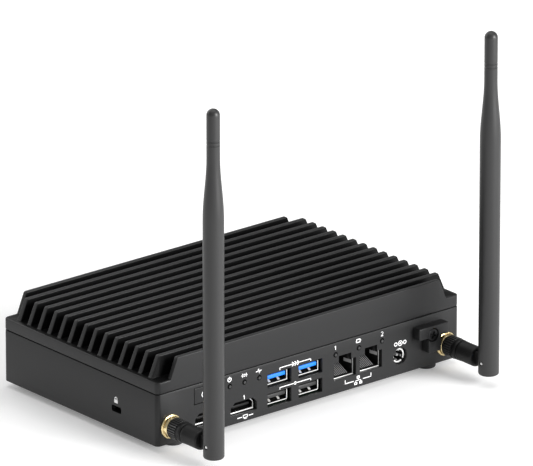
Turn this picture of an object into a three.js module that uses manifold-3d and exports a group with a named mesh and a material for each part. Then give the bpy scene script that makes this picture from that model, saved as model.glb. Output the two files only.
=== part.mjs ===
// Fanless mini computer with a finned heatsink cover and two swivelling antennas.
//
// Case coordinates, in millimetres: X runs along the connector panel from the left
// end of the case, Y runs into the case from the outer face of the panel, and Z runs
// up from the underside of the case. The whole case is then moved so that the origin
// lies under the middle of its bounding box, on the surface that the feet stand on.

import * as THREE from 'three';
import { mergeVertices } from 'three/addons/utils/BufferGeometryUtils.js';
import Module from 'manifold-3d';

const wasm = await Module();
wasm.setup();

// ---------------------------------------------------------------- driving dimensions
const WIDTH = 192.8;            // case, along the connector panel
const DEPTH = 119.1;            // case, from the connector panel to the rear
const SEAM_Z = 26.9;            // joint line between the lower chassis and the cover
const RIM_Z = 33;               // floor between the fins, top of the plain rim
const FIN_TOP_Z = 43.7;
const CORNER_R = 2.4;           // upright corners of the case
const GAP = 0.3;                // clearance between neighbouring pieces
const HALF_GAP = GAP / 2;

const FOOT = { radius: 5, height: 3.2, insetX: 15.5, insetY: 7 };

const PANEL_T = 1.7;            // wall with the connectors
const WALL_T = 2.2;             // other three walls of the chassis
const LIP = { inset: 1, rise: 0.1 };
const BOTTOM_T = 0.8;           // sheet-metal bottom cover

const FIN_COUNT = 14;
const FIN_PITCH = 7.81;
const FIN_MIDDLE_Y = 59.4;      // between the seventh and eighth fins
const FIN = { base: 2.9, top: 2.5, crown: 0.5, baseX: 2.6, topX: 7.3 };
const END_WALL = { thickness: 2.4, baseX: 8.5, topX: 12.9 };

const CEILING_Z = 30;           // underside of the cover inside the case
const BOARD = { x: [16, 174.7], y: [2.3, 108], z: [1.9, 3.1] };
const CONNECTOR_Y = PANEL_T + GAP;      // front faces of the connectors
const CASE_BOSS = { insetX: 9, insetY: 24, radius: 4, hole: 1.8 };
const CASE_SCREW = { head: 2.8, shank: 1.5, depth: 1 };
const BOARD_POSTS = [[62, 34], [114, 34], [62, 100], [114, 100]];
const BOARD_POST = { radius: 3, hole: 1.5, depth: 8 };

const ANTENNA_X = [8.3, 183.8];
const ANTENNA_AXIS_Z = 9.2;     // height of the coaxial connectors
const PIN_Y = -32.8;            // fold pin, and the axis of the upright antenna
const ANTENNA_BOTTOM_Z = 2.7;
const ANTENNA_TOP_Z = 181.2;
const ANTENNA_R = 5.2;
const ANTENNA_EDGE_R = 1.1;     // round edge at the lower end of the antenna
const TIP_R = 3.3;
const PIN_R = 0.8;
const BARREL_END_Y = -24.8;      // clear of the circle that the antenna's lower corner sweeps
const TONGUE = { half: 1.9, radius: 3.4 };

const POWER_BUTTON = { x: [23.4, 36.1], z: [16.6, 24.6], groove: 0.35 };
const USB_X = [77.1, 96.9];
const USB_Z = [7, 17.2];         // lower and upper socket
const USB_CUTOUT = { width: 15.2, height: 7.4 };
const USB_SHELL = { width: 13.1, height: 5.8, wall: 0.35, depth: 17 };
const VIDEO_X = [32, 54.45];
const VIDEO_CUTOUT = { width: 16.5, z: [4.5, 11.1], chamfer: 2.5 };
const VIDEO_SHELL = { width: 15, z: [5, 10.6], chamfer: 2, wall: 0.35, depth: 12 };
const NETWORK_X = [119, 135.7];
const NETWORK_CUTOUT = { width: 14.2, z: [7, 16.1], notchWidth: 8, notchTop: 19.3 };
const NETWORK_JACK = { width: 16, z: [3.4, 19.9], depth: 21, wall: 0.5 };
const NETWORK_SOCKET = { width: 12, z: [7.8, 15.5], notchWidth: 6.6, notchTop: 18.7, depth: 14 };
const LED_R = 1.4;
const LED_Z = 20.5;
const STATUS_LED_X = [45.6, 54.9, 64.2];
const NETWORK_LED_X = [112.9, 127.9, 142.8];
const POWER_JACK = { x: 154.6, z: 9.6, hole: 4.4, bore: 3.2, pin: 1, depth: 13 };
const LOCK_SLOT = { y: [27.7, 35], z: [9, 12.3] };
const HOOK = { depth: 5, arm: [162.9, 181.7], armZ: [16.7, 22.7], leg: [169, 177.1], legZ: 8.8 };
const HOOK_SCREW = { x: 171.9, z: 17.9, head: 3.3, shank: 1.4 };

// ------------------------------------------------------------------------- materials
const finish = (color, roughness, metalness) => ({ color, roughness, metalness });
const BLACK_METAL = finish(0x3a3b3d, 0.55, 0.4);
const DARK_METAL = finish(0x303133, 0.5, 0.5);
const BRIGHT_METAL = finish(0xc9c9c6, 0.3, 1);
const BRASS = finish(0xd0b05c, 0.3, 1);
const BLACK_PLASTIC = finish(0x2a2a2b, 0.6, 0);
const ANTENNA_PLASTIC = finish(0x48484a, 0.55, 0);
const BLUE_PLASTIC = finish(0x2b86ff, 0.45, 0);
const CLEAR_PLASTIC = finish(0xb9bcbd, 0.3, 0);
const RUBBER = finish(0x232324, 0.85, 0);
const BOARD_GREEN = finish(0x1f5b3a, 0.6, 0);
const CHIP = finish(0x24272b, 0.5, 0);
const PAD_GREY = finish(0x8f9aa5, 0.8, 0);

// --------------------------------------------------------------------- solid helpers
function solid(geometry) {
  const bare = geometry.index ? geometry.toNonIndexed() : geometry.clone();
  bare.deleteAttribute('normal');
  bare.deleteAttribute('uv');
  const merged = mergeVertices(bare, 1e-4);
  return new wasm.Manifold(new wasm.Mesh({
    numProp: 3,
    vertProperties: new Float32Array(merged.attributes.position.array),
    triVerts: new Uint32Array(merged.index.array),
  }));
}

const join = (first, ...others) => others.reduce((whole, piece) => whole.add(piece), first);
const cut = (first, ...others) => others.reduce((whole, piece) => whole.subtract(piece), first);

function block(x, y, z) {
  const geometry = new THREE.BoxGeometry(x[1] - x[0], y[1] - y[0], z[1] - z[0]);
  return solid(geometry.translate((x[0] + x[1]) / 2, (y[0] + y[1]) / 2, (z[0] + z[1]) / 2));
}

// A round bar between two points that differ along one axis only.
function bar(from, to, radius, sides = 16) {
  const start = new THREE.Vector3(...from);
  const way = new THREE.Vector3(...to).sub(start);
  const geometry = new THREE.CylinderGeometry(radius, radius, way.length(), sides);
  const turn = new THREE.Quaternion().setFromUnitVectors(
    new THREE.Vector3(0, 1, 0), way.clone().normalize());
  geometry.applyQuaternion(turn);
  const middle = start.addScaledVector(way, 0.5);
  return solid(geometry.translate(middle.x, middle.y, middle.z));
}

function outline(points) {
  return new THREE.Shape(points.map(([a, b]) => new THREE.Vector2(a, b)));
}

function roundedRectangle(a, b, radius) {
  const shape = new THREE.Shape();
  const corners = [[a[1], b[0], -90], [a[1], b[1], 0], [a[0], b[1], 90], [a[0], b[0], 180]];
  for (const [x, y, start] of corners) {
    const first = THREE.MathUtils.degToRad(start);
    const cx = x === a[1] ? x - radius : x + radius;
    const cy = y === b[1] ? y - radius : y + radius;
    shape.absarc(cx, cy, radius, first, first + Math.PI / 2, false);
  }
  return shape;
}

// A shape drawn in X and Y, standing from one height to another.
function slab(shape, z, curveSegments = 4) {
  const options = { depth: z[1] - z[0], bevelEnabled: false, curveSegments };
  return solid(new THREE.ExtrudeGeometry(shape, options).translate(0, 0, z[0]));
}

// A shape drawn in X and Z, running into the case from one Y to another.
function panel(shape, y, curveSegments = 6) {
  const options = { depth: y[1] - y[0], bevelEnabled: false, curveSegments };
  const geometry = new THREE.ExtrudeGeometry(shape, options).rotateX(Math.PI / 2);
  return solid(geometry.translate(0, y[1], 0));
}

// A profile of [radius, height] pairs turned about a line along Z.
function turned(profile, x, y, sides = 20) {
  const points = profile.map(([r, z]) => new THREE.Vector2(r, z));
  const geometry = new THREE.LatheGeometry(points, sides).rotateX(Math.PI / 2);
  return solid(geometry.translate(x, y, 0));
}

// A profile of [radius, Y] pairs turned about a line along Y, listed towards -Y.
function turnedAlongY(profile, x, z, sides = 24) {
  const points = profile.map(([r, y]) => new THREE.Vector2(r, -y));
  const geometry = new THREE.LatheGeometry(points, sides).rotateX(Math.PI);
  return solid(geometry.translate(x, 0, z));
}

function ring(outer, inner, y, x, z, sides = 24) {
  const body = bar([x, y[0], z], [x, y[1], z], outer, sides);
  return body.subtract(bar([x, y[0] - 1, z], [x, y[1] + 1, z], inner, 20));
}

const around = (middle, width) => [middle - width / 2, middle + width / 2];
const grown = (range, by) => [range[0] - by, range[1] + by];

const computer = new THREE.Group();
computer.position.set(-WIDTH / 2, -(DEPTH + PIN_Y - ANTENNA_R) / 2, FOOT.height);

function addPiece(name, body, look) {
  const raw = body.getMesh();
  const geometry = new THREE.BufferGeometry();
  geometry.setAttribute('position', new THREE.BufferAttribute(raw.vertProperties, 3));
  geometry.setIndex(new THREE.BufferAttribute(raw.triVerts, 1));
  geometry.computeVertexNormals();
  const mesh = new THREE.Mesh(geometry, new THREE.MeshStandardMaterial(look));
  mesh.name = name;
  computer.add(mesh);
}

const caseBosses = [
  [CASE_BOSS.insetX, CASE_BOSS.insetY],
  [WIDTH - CASE_BOSS.insetX, CASE_BOSS.insetY],
  [CASE_BOSS.insetX, DEPTH - CASE_BOSS.insetY + 10],
  [WIDTH - CASE_BOSS.insetX, DEPTH - CASE_BOSS.insetY + 10],
];

// ---------------------------------------------------------------------- the heatsink
// A fin or an end wall: upright sides that lean in a little, a narrow crown, and ends
// that slope back from the rim to the top.
function fin(y, baseT, topT, ends) {
  const root = RIM_Z - 1;
  const crown = FIN_TOP_Z - FIN.crown;
  const section = outline([
    [y - baseT / 2, root], [y + baseT / 2, root], [y + topT / 2, crown],
    [y + topT / 2 - FIN.crown, FIN_TOP_Z], [y - topT / 2 + FIN.crown, FIN_TOP_Z],
    [y - topT / 2, crown],
  ]);
  const length = { depth: WIDTH, bevelEnabled: false };
  const wedge = new THREE.ExtrudeGeometry(section, length);
  wedge.applyMatrix4(new THREE.Matrix4().set(0, 0, 1, 0, 1, 0, 0, 0, 0, 1, 0, 0, 0, 0, 0, 1));
  const lean = (ends.topX - ends.baseX) / (FIN_TOP_Z - RIM_Z);
  const rootX = ends.baseX - lean;
  const side = outline([
    [rootX, root], [WIDTH - rootX, root], [WIDTH - ends.topX, FIN_TOP_Z], [ends.topX, FIN_TOP_Z],
  ]);
  return solid(wedge).intersect(panel(side, [y - baseT, y + baseT]));
}

function heatsinkCover() {
  const base = slab(roundedRectangle([0, WIDTH], [0, DEPTH], CORNER_R),
    [SEAM_Z + HALF_GAP, RIM_Z]);
  const hollow = block([3, WIDTH - 3], [3, DEPTH - 3], [SEAM_Z - 1, CEILING_Z]);
  let body = base.subtract(hollow);
  for (let i = 0; i < FIN_COUNT; i += 1) {
    const y = FIN_MIDDLE_Y + (i - (FIN_COUNT - 1) / 2) * FIN_PITCH;
    body = body.add(fin(y, FIN.base, FIN.top, FIN));
  }
  const wall = END_WALL.thickness;
  for (const y of [wall / 2, DEPTH - wall / 2]) {
    body = body.add(fin(y, wall, wall, END_WALL));
  }
  for (const [x, y] of BOARD_POSTS) {
    const foot = BOARD.z[1] + GAP;
    body = body.add(bar([x, y, foot], [x, y, CEILING_Z + 1], BOARD_POST.radius, 16));
    body = body.subtract(bar([x, y, foot - 1], [x, y, foot + BOARD_POST.depth], BOARD_POST.hole, 12));
  }
  for (const [x, y] of caseBosses) {
    body = body.add(bar([x, y, SEAM_Z + HALF_GAP], [x, y, CEILING_Z + 1], CASE_BOSS.radius, 16));
    body = body.subtract(bar([x, y, SEAM_Z - 1], [x, y, RIM_Z - 1], CASE_BOSS.hole, 12));
  }
  addPiece('heatsink_cover', body, BLACK_METAL);
}

// ----------------------------------------------------------------------- the chassis
function videoOutline(x, width, z, chamfer) {
  const [low, high] = z;
  return outline([
    [x - width / 2, low], [x + width / 2, low], [x + width / 2, high - chamfer],
    [x + width / 2 - chamfer, high], [x - width / 2 + chamfer, high],
    [x - width / 2, high - chamfer],
  ]);
}

function notchedOutline(x, width, z, notchWidth, notchTop) {
  const half = width / 2;
  const notch = notchWidth / 2;
  return outline([
    [x - half, z[0]], [x + half, z[0]], [x + half, z[1]], [x + notch, z[1]],
    [x + notch, notchTop], [x - notch, notchTop], [x - notch, z[1]], [x - half, z[1]],
  ]);
}

function panelCutouts() {
  const through = [-1, PANEL_T + 1];
  const hole = (x, z, radius) => bar([x, through[0], z], [x, through[1], z], radius);
  const cuts = [
    block(grown(POWER_BUTTON.x, POWER_BUTTON.groove), through,
      grown(POWER_BUTTON.z, POWER_BUTTON.groove)),
    hole(POWER_JACK.x, POWER_JACK.z, POWER_JACK.hole),
    hole(HOOK_SCREW.x, HOOK_SCREW.z, HOOK_SCREW.shank + GAP),
  ];
  for (const x of VIDEO_X) {
    const { width, z, chamfer } = VIDEO_CUTOUT;
    cuts.push(panel(videoOutline(x, width, z, chamfer), through));
  }
  for (const x of USB_X) {
    for (const z of USB_Z) {
      cuts.push(block(around(x, USB_CUTOUT.width), through, around(z, USB_CUTOUT.height)));
    }
  }
  for (const x of NETWORK_X) {
    const { width, z, notchWidth, notchTop } = NETWORK_CUTOUT;
    cuts.push(panel(notchedOutline(x, width, z, notchWidth, notchTop), through));
  }
  for (const x of [...STATUS_LED_X, ...NETWORK_LED_X]) {
    cuts.push(hole(x, LED_Z, LED_R));
  }
  for (const x of ANTENNA_X) {
    cuts.push(hole(x, ANTENNA_AXIS_Z, 3.3));
  }
  return cuts;
}

function chassis() {
  const top = SEAM_Z - HALF_GAP;
  const inside = [[WALL_T, WIDTH - WALL_T], [PANEL_T, DEPTH - WALL_T]];
  let body = slab(roundedRectangle([0, WIDTH], [0, DEPTH], CORNER_R), [0, top]);
  const lipX = [LIP.inset, WIDTH - LIP.inset];
  const lipY = [LIP.inset, DEPTH - LIP.inset];
  body = body.add(slab(roundedRectangle(lipX, lipY, CORNER_R - LIP.inset), [top - 1, top + LIP.rise]));
  body = body.subtract(slab(roundedRectangle(...inside, 1.2), [-1, SEAM_Z + 1]));
  for (const [x, y] of caseBosses) {
    const post = bar([x, y, BOTTOM_T + GAP], [x, y, top], CASE_BOSS.radius, 16);
    const wallX = x < WIDTH / 2 ? [WALL_T - 0.5, x] : [x, WIDTH - WALL_T + 0.5];
    const web = block(wallX, around(y, 3), [BOTTOM_T + GAP, top]);
    body = join(body, post, web);
    body = body.subtract(bar([x, y, -1], [x, y, SEAM_Z + 1], CASE_BOSS.hole, 12));
  }
  const switchPosts = grown(POWER_BUTTON.x, 3.6);
  for (const x of switchPosts) {
    const z = (POWER_BUTTON.z[0] + POWER_BUTTON.z[1]) / 2;
    body = body.add(bar([x, PANEL_T - 0.5, z], [x, 5.9, z], 1.6, 12));
  }
  body = cut(body, ...panelCutouts());
  const slot = block([-1, WALL_T + 1], LOCK_SLOT.y, LOCK_SLOT.z);
  addPiece('chassis', body.subtract(slot), BLACK_METAL);
}

function bottomCover() {
  const inset = GAP + WALL_T;
  const shape = roundedRectangle([inset, WIDTH - inset], [PANEL_T + GAP, DEPTH - inset], 1);
  let body = slab(shape, [0, BOTTOM_T]);
  const { head, shank, depth } = CASE_SCREW;
  const gap = GAP + 0.1;
  const countersink = [[0, -gap], [head + 2 * gap, -gap], [shank + gap, depth], [0, depth]];
  for (const [x, y] of caseBosses) {
    body = body.subtract(turned(countersink, x, y, 16));
  }
  addPiece('bottom_cover', body, DARK_METAL);
}

function cornerPositions(insetX, insetY) {
  return [
    [insetX, insetY], [WIDTH - insetX, insetY],
    [insetX, DEPTH - insetY], [WIDTH - insetX, DEPTH - insetY],
  ];
}

function feet() {
  cornerPositions(FOOT.insetX, FOOT.insetY).forEach(([x, y], i) => {
    const profile = [
      [0, -FOOT.height], [FOOT.radius - 0.6, -FOOT.height], [FOOT.radius, -FOOT.height + 0.6],
      [FOOT.radius, -0.05], [0, -0.05],
    ];
    addPiece(`rubber_foot_${i + 1}`, turned(profile, x, y, 20), RUBBER);
  });
}

function caseScrews() {
  caseBosses.forEach(([x, y], i) => {
    const { head, shank, depth } = CASE_SCREW;
    const top = RIM_Z - 2;
    const profile = [[0, 0], [head, 0], [shank, depth], [shank, top], [0, top]];
    addPiece(`case_screw_${i + 1}`, turned(profile, x, y, 16), DARK_METAL);
  });
}

// --------------------------------------------------------------- inside of the case
function electronics() {
  let board = block(BOARD.x, BOARD.y, BOARD.z);
  for (const [x, y] of BOARD_POSTS) {
    board = board.subtract(bar([x, y, 0], [x, y, 5], BOARD_POST.hole, 12));
  }
  addPiece('mainboard', board, BOARD_GREEN);
  const top = BOARD.z[1] + GAP;
  const processor = join(
    block([72, 104], [50, 82], [top, top + 1.2]),
    block([81, 95], [59, 73], [top + 1, top + 2]));
  addPiece('processor', processor, CHIP);
  const padTop = top + 2 + GAP + 1;
  addPiece('thermal_pad', block([79, 97], [57, 75], [top + 2 + GAP, padTop]), PAD_GREY);
  addPiece('heat_transfer_block', block([67, 109], [45, 87], [padTop + GAP, CEILING_Z - GAP]), BRIGHT_METAL);
  const socket = join(
    block([20, 27], [34, 106], [top, top + 4]),
    block([20, 58], [34, 35.6], [top, top + 4]),
    block([20, 58], [104.4, 106], [top, top + 4]));
  addPiece('memory_socket', socket, BLACK_PLASTIC);
  const module = join(
    block([27 + GAP, 57], [36.2, 103.8], [6, 7.2]),
    block([32, 42], [42, 98], [7, 8.2]));
  addPiece('memory_module', module, BOARD_GREEN);
  const drive = join(
    block([118, 140], [28, 107.5], [5.6, 6.4]),
    block([120, 138], [36, 96], [6.2, 7.4]),
    block([118, 140], [26.5, 33], [top, 6]));
  addPiece('solid_state_drive', drive, CHIP);
  const wireless = join(
    block([146, 168], [70, 100], [5.6, 6.4]),
    block([148, 166], [74, 92], [6.2, 7.4]),
    block([146, 168], [66, 72], [top, 6]));
  addPiece('wireless_card', wireless, BOARD_GREEN);
}

function boardScrews() {
  BOARD_POSTS.forEach(([x, y], i) => {
    const head = bar([x, y, BOTTOM_T + 0.2], [x, y, BOARD.z[0] - 0.1], 2.6, 16);
    const shank = bar([x, y, BOARD.z[0] - 0.2], [x, y, 9], 1.2, 12);
    addPiece(`board_screw_${i + 1}`, head.add(shank), BRIGHT_METAL);
  });
}

function antennaLead(name, points) {
  const path = new THREE.CatmullRomCurve3(points.map((p) => new THREE.Vector3(...p)));
  const section = new THREE.Shape().absarc(0, 0, 0.6, 0, 2 * Math.PI, false);
  const options = { steps: 26, curveSegments: 3, bevelEnabled: false, extrudePath: path };
  addPiece(name, solid(new THREE.ExtrudeGeometry(section, options)), BLACK_PLASTIC);
}

function antennaLeads() {
  const [left, right] = ANTENNA_X;
  const start = 10.4;
  antennaLead('antenna_lead_left', [
    [left, start, ANTENNA_AXIS_Z], [9, 14, 9.5], [16, 21, 17], [28, 26, 22.5], [60, 26, 23.5],
    [110, 26, 23.5], [138, 44, 20], [150, 72, 13], [152, 90, 8.6], [152, 96, 7.6],
  ]);
  antennaLead('antenna_lead_right', [
    [right, start, ANTENNA_AXIS_Z], [181, 14, 9], [174, 24, 10], [171, 44, 9.5],
    [168, 72, 9.5], [163, 90, 8.6], [162, 96, 7.6],
  ]);
}

// -------------------------------------------------------------------- the connectors
function usbSockets() {
  const { width, height, wall, depth } = USB_SHELL;
  USB_X.forEach((x, column) => {
    const side = column === 0 ? 'left' : 'right';
    const outer = [USB_Z[0] - height / 2, USB_Z[1] + height / 2];
    let shell = block(around(x, width), [CONNECTOR_Y, CONNECTOR_Y + depth], outer);
    for (const z of USB_Z) {
      const mouth = [around(x, width - 2 * wall), around(z, height - 2 * wall)];
      shell = shell.subtract(block(mouth[0], [0, CONNECTOR_Y + depth - 1], mouth[1]));
    }
    addPiece(`usb_shell_${side}`, shell, BRIGHT_METAL);
    USB_Z.forEach((z, row) => {
      const level = row === 0 ? 'lower' : 'upper';
      const blade = [z + height / 2 - wall - 2.6, z + height / 2 - wall - 0.7];
      const y = [CONNECTOR_Y + 0.4, CONNECTOR_Y + depth - 5];
      const tongue = join(
        block(around(x, 11.2), y, blade),
        block(around(x, width - 2 * wall - 0.4), [y[1] - 1, y[1] + 3],
          around(z, height - 2 * wall - 0.4)));
      addPiece(`usb_tongue_${side}_${level}`, tongue, row === 0 ? BLACK_PLASTIC : BLUE_PLASTIC);
    });
  });
}

function videoSockets() {
  const { width, z, chamfer, wall, depth } = VIDEO_SHELL;
  const [front, rear] = [CONNECTOR_Y, CONNECTOR_Y + depth];
  VIDEO_X.forEach((x, i) => {
    const outer = panel(videoOutline(x, width, z, chamfer), [front, rear]);
    const inner = videoOutline(x, width - 2 * wall, [z[0] + wall, z[1] - wall], chamfer - 0.15);
    const shell = outer.subtract(panel(inner, [0, rear - 1]));
    addPiece(`video_shell_${i + 1}`, shell, BRIGHT_METAL);
    const middle = (z[0] + z[1]) / 2;
    const tongue = join(
      block(around(x, 10.5), [front + 0.6, rear - 3], around(middle, 1.2)),
      block(around(x, width - 2 * wall - 4.6), [rear - 4, rear - 1.5],
        [z[0] + wall + 0.2, z[1] - wall - 0.2]));
    addPiece(`video_tongue_${i + 1}`, tongue, BLACK_PLASTIC);
  });
}

function networkJacks() {
  const { width, z, depth, wall } = NETWORK_JACK;
  const socket = NETWORK_SOCKET;
  NETWORK_X.forEach((x, i) => {
    const opening = notchedOutline(x, socket.width, socket.z, socket.notchWidth, socket.notchTop);
    const box = block(around(x, width), [CONNECTOR_Y, CONNECTOR_Y + depth], z);
    const inner = block(grown(around(x, width), -wall),
      [CONNECTOR_Y + wall, CONNECTOR_Y + depth + 1], grown(z, -wall));
    const shield = cut(box, inner, panel(opening, [0, CONNECTOR_Y + 2]));
    addPiece(`network_shield_${i + 1}`, shield, BRIGHT_METAL);
    const core = block(grown(around(x, width), -wall - GAP),
      [CONNECTOR_Y + wall + GAP, CONNECTOR_Y + depth - 1], grown(z, -wall - GAP));
    const insert = core.subtract(panel(opening, [0, CONNECTOR_Y + socket.depth]));
    addPiece(`network_insert_${i + 1}`, insert, BLACK_PLASTIC);
  });
}

function powerJack() {
  const { x, z, bore, pin, depth } = POWER_JACK;
  const rear = CONNECTOR_Y + depth;
  const body = block(around(x, 10), [CONNECTOR_Y, rear], [BOARD.z[1] + GAP, z + 5.4]);
  const socket = bar([x, 0, z], [x, rear - 3, z], bore, 24);
  const contact = bar([x, CONNECTOR_Y + 0.6, z], [x, rear - 2, z], pin, 12);
  addPiece('power_jack', body.subtract(socket).add(contact), BLACK_PLASTIC);
}

function powerButton() {
  const { x, z } = POWER_BUTTON;
  const cap = block(x, [0, 2.6], z);
  const flange = block(grown(x, 1), [PANEL_T + GAP, 3], grown(z, 0.8));
  addPiece('power_button', cap.add(flange), BLACK_PLASTIC);
  const [middleX, middleZ] = [(x[0] + x[1]) / 2, (z[0] + z[1]) / 2];
  const card = block(grown(x, 5), [6.2, 7.4], grown(z, 0.9));
  const body = block(around(middleX, 6), [4.9, 6.4], around(middleZ, 6));
  const plunger = bar([middleX, 4, middleZ], [middleX, 5, middleZ], 1.5, 12);
  addPiece('power_switch', join(card, body, plunger), BOARD_GREEN);
}

// Three clear pipes joined by a bar, each carrying light from the board to a hole.
function lightGuide(name, holes, rear) {
  const front = PANEL_T + HALF_GAP;
  const z = [LED_Z - 0.2, LED_Z + 1.2];
  let guide = block([holes[0] - 1, holes[2] + 1], [front, front + 1.6], z);
  for (const x of holes) {
    const pipe = bar([x, 0.9, LED_Z], [x, CONNECTOR_Y, LED_Z], LED_R - GAP, 16);
    const run = block(around(x, 1.6), [front, rear], z);
    const leg = block(around(x, 1.6), [rear - 1.6, rear], [BOARD.z[1] + 0.6, z[1]]);
    guide = join(guide, pipe, run, leg);
  }
  addPiece(name, guide, CLEAR_PLASTIC);
}

function retentionHook() {
  const { arm, armZ, leg, legZ, depth } = HOOK;
  const shape = outline([
    [arm[0], armZ[0]], [leg[0], armZ[0]], [leg[0], legZ], [leg[1], legZ], [leg[1], armZ[0]],
    [arm[1], armZ[0]], [arm[1], armZ[1]], [arm[0], armZ[1]],
  ]);
  const { x, z, head, shank } = HOOK_SCREW;
  const recess = bar([x, -depth - 1, z], [x, -depth + 1.9, z], head + GAP, 24);
  const hole = bar([x, -depth, z], [x, 1, z], shank + GAP, 12);
  addPiece('cable_hook', cut(panel(shape, [-depth, -0.05]), recess, hole), BLACK_PLASTIC);
  const top = bar([x, -depth + 0.1, z], [x, -depth + 1.5, z], head, 20);
  const stem = bar([x, -depth + 1, z], [x, 4, z], shank, 12);
  addPiece('cable_hook_screw', top.add(stem), DARK_METAL);
}

// ---------------------------------------------------------------------- the antennas
function coaxialConnector(x, side) {
  const z = ANTENNA_AXIS_Z;
  const thread = bar([x, -8.6, z], [x, 5, z], 3, 20);
  const flange = bar([x, PANEL_T + GAP, z], [x, PANEL_T + GAP + 2, z], 4.6, 6);
  const tail = bar([x, 4, z], [x, 10, z], 1.5, 12);
  addPiece(`antenna_connector_${side}`, join(thread, flange, tail), BRASS);
  addPiece(`connector_washer_${side}`, ring(5.9, 3.3, [-0.95, -0.05], x, z), BRASS);
  addPiece(`connector_nut_${side}`, ring(6.2, 3.3, [-3, -1], x, z, 6), BRASS);
}

function swivelNut(x, side) {
  const z = ANTENNA_AXIS_Z;
  const body = turnedAlongY([[0, -3.3], [5.1, -3.3], [5.4, -3.6], [5.4, -12.4], [5, -12.8], [0, -12.8]],
    x, z, 32);
  const socket = bar([x, -9, z], [x, 0, z], 3.3, 20);
  const neckHole = bar([x, -14, z], [x, -8, z], 2.2, 16);
  addPiece(`swivel_nut_${side}`, cut(body, socket, neckHole), BLACK_PLASTIC);
}

function swivelBarrel(x, side) {
  const z = ANTENNA_AXIS_Z;
  const body = turnedAlongY([[0, -10], [1.9, -10], [1.9, -13.1], [4.8, -13.1], [5.1, -13.5],
    [5.05, BARREL_END_Y + 0.6], [4.5, BARREL_END_Y], [0, BARREL_END_Y]], x, z);
  const arm = block(around(x, 2 * TONGUE.half), [PIN_Y, BARREL_END_Y + 2], around(z, 2 * TONGUE.radius));
  const end = bar([x - TONGUE.half, PIN_Y, z], [x + TONGUE.half, PIN_Y, z], TONGUE.radius, 24);
  const hole = bar([x - 3, PIN_Y, z], [x + 3, PIN_Y, z], PIN_R + GAP, 12);
  addPiece(`swivel_barrel_${side}`, cut(join(body, arm, end), hole), BLACK_PLASTIC);
  const pin = bar([x - 4.9, PIN_Y, z], [x + 4.9, PIN_Y, z], PIN_R, 12);
  addPiece(`fold_pin_${side}`, pin, BRIGHT_METAL);
}

// Straight shaft, an S-shaped shoulder, a slimmer neck and a round tip.
function antennaProfile() {
  const bottom = ANTENNA_BOTTOM_Z;
  const edge = ANTENNA_EDGE_R;
  const profile = [[0, bottom], [ANTENNA_R - edge, bottom]];
  for (const degrees of [30, 60, 90]) {
    const angle = THREE.MathUtils.degToRad(degrees);
    profile.push([
      ANTENNA_R - edge + edge * Math.sin(angle), bottom + edge - edge * Math.cos(angle),
    ]);
  }
  const [shoulder, neck] = [124.7, 156.7];
  const steps = 9;
  for (let i = 0; i <= steps; i += 1) {
    const t = i / steps;
    const blend = (1 - Math.cos(Math.PI * t)) / 2;
    profile.push([ANTENNA_R + (TIP_R - ANTENNA_R) * blend, shoulder + (neck - shoulder) * t]);
  }
  for (const degrees of [0, 25, 50, 75]) {
    const angle = THREE.MathUtils.degToRad(degrees);
    profile.push([TIP_R * Math.cos(angle), ANTENNA_TOP_Z - TIP_R + TIP_R * Math.sin(angle)]);
  }
  profile.push([0, ANTENNA_TOP_Z]);
  return profile;
}

function antenna(x, side) {
  const z = ANTENNA_AXIS_Z;
  const half = TONGUE.half + GAP;
  const reach = TONGUE.radius + GAP;
  const slot = block([x - half, x + half], [PIN_Y - reach, PIN_Y + 8], [0, z + reach]);
  const hole = bar([x - 8, PIN_Y, z], [x + 8, PIN_Y, z], PIN_R + GAP, 12);
  const body = turned(antennaProfile(), x, PIN_Y);
  addPiece(`antenna_${side}`, cut(body, slot, hole), ANTENNA_PLASTIC);
}

// -------------------------------------------------------------------------- assembly
heatsinkCover();
chassis();
bottomCover();
feet();
caseScrews();
electronics();
boardScrews();
antennaLeads();
usbSockets();
videoSockets();
networkJacks();
powerJack();
powerButton();
lightGuide('status_light_guide', STATUS_LED_X, CONNECTOR_Y + VIDEO_SHELL.depth + 2);
lightGuide('network_light_guide', NETWORK_LED_X, CONNECTOR_Y + NETWORK_JACK.depth + 2);
retentionHook();
['left', 'right'].forEach((side, i) => {
  coaxialConnector(ANTENNA_X[i], side);
  swivelNut(ANTENNA_X[i], side);
  swivelBarrel(ANTENNA_X[i], side);
  antenna(ANTENNA_X[i], side);
});

export default computer;
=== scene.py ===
import math

import bmesh
import bpy
from mathutils import Matrix, Vector

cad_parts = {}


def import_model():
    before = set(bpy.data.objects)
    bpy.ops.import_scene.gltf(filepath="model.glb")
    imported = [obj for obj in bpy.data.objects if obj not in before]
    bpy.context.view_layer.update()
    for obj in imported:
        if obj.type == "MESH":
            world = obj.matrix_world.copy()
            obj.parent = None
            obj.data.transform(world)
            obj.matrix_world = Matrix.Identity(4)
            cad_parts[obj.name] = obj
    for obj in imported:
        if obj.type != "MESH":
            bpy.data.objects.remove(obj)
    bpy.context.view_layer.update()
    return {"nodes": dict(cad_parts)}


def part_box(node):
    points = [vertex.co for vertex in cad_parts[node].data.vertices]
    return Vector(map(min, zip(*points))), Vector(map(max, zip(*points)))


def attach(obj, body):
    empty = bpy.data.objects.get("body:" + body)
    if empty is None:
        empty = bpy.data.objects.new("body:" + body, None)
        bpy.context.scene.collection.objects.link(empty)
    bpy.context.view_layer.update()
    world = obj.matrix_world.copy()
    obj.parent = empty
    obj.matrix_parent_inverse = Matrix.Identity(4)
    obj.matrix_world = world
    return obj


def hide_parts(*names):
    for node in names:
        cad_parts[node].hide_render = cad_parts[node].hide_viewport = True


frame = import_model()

# ------------------------------------------------------------------ case coordinates
# Pieces are drawn in millimetres in the case's own coordinates: X along the connector
# panel from the left end, Y into the case from the panel, Z up from the underside.
MM = 0.001
CASE_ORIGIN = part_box("chassis")[0]
CASE_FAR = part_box("chassis")[1]
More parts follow.
